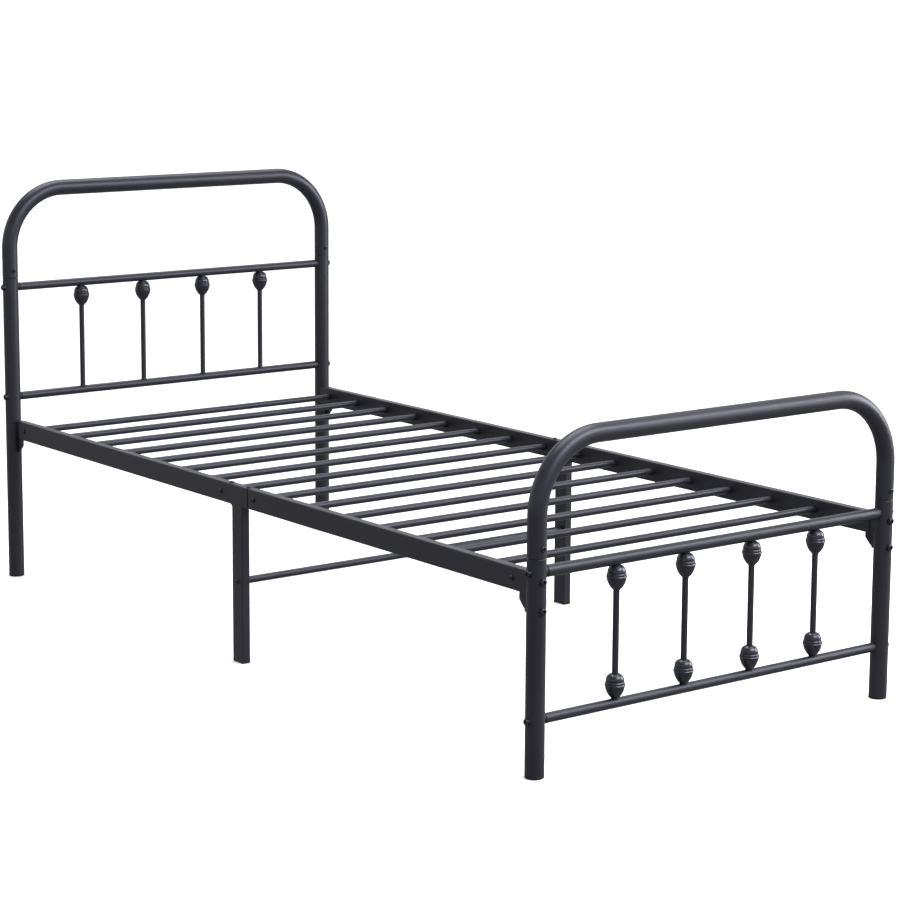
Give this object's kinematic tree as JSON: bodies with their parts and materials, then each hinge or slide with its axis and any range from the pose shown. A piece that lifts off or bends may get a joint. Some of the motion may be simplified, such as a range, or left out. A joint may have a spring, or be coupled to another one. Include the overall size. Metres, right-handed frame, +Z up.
{
  "type": "metal bed frame",
  "caption": "Single metal bed frame with arched tube headboard and lower footboard, knobbed spindles, cross slats, split side rails and centre legs.",
  "frame": {"origin": "on the floor under the middle of the bed, the bottom centre of its box", "axes": "+Z up, +Y towards the headboard along the bed, +X across the bed"},
  "size_m": [0.9788, 2.0988, 0.985],
  "materials": {
    "powder_coat": "fine-textured satin powder coat, charcoal black",
    "knob_coat": "smooth satin black coat, a little glossier than the tubes",
    "bolt_black": "black oxide, semi-gloss",
    "black_plastic": "moulded matte black",
    "zinc_steel": "bright zinc plate"
  },
  "bodies": {
    "root": {"arch_sleeves": "zinc_steel", "bracket_bolts": "bolt_black", "button_screws": "bolt_black", "centre_leg_left": "powder_coat", "centre_leg_right": "powder_coat", "cross_bar": "powder_coat", "foot_arch": "powder_coat", "foot_bottom_rail": "powder_coat", "foot_bracket_left": "powder_coat", "foot_bracket_right": "powder_coat", "foot_left_side_rail": "powder_coat", "foot_lower_knobs": "knob_coat", "foot_post_left": "powder_coat", "foot_post_right": "powder_coat", "foot_right_side_rail": "powder_coat", "foot_spindle_1": "powder_coat", "foot_spindle_2": "powder_coat", "foot_spindle_3": "powder_coat", "foot_spindle_4": "powder_coat", "foot_top_rail": "powder_coat", "foot_upper_knobs": "knob_coat", "head_arch": "powder_coat", "head_bottom_rail": "powder_coat", "head_bracket_left": "powder_coat", "head_bracket_right": "powder_coat", "head_knobs": "knob_coat", "head_left_side_rail": "powder_coat", "head_post_left": "powder_coat", "head_post_right": "powder_coat", "head_right_side_rail": "powder_coat", "head_spindle_1": "powder_coat", "head_spindle_2": "powder_coat", "head_spindle_3": "powder_coat", "head_spindle_4": "powder_coat", "head_top_rail": "powder_coat", "joint_stubs": "powder_coat", "leg_caps": "black_plastic", "panel_bolts": "bolt_black", "post_caps": "black_plastic", "rail_bolts": "bolt_black", "rail_end_plugs": "black_plastic", "rail_nuts": "zinc_steel", "saddle_washers": "bolt_black", "slat_01": "powder_coat", "slat_02": "powder_coat", "slat_03": "powder_coat", "slat_04": "powder_coat", "slat_05": "powder_coat", "slat_06": "powder_coat", "slat_07": "powder_coat", "slat_08": "powder_coat", "slat_09": "powder_coat", "slat_10": "powder_coat", "slat_11": "powder_coat", "slat_12": "powder_coat", "slat_13": "powder_coat", "slat_14": "powder_coat", "slat_15": "powder_coat", "threaded_inserts": "zinc_steel"}
  },
  "joints": []
}
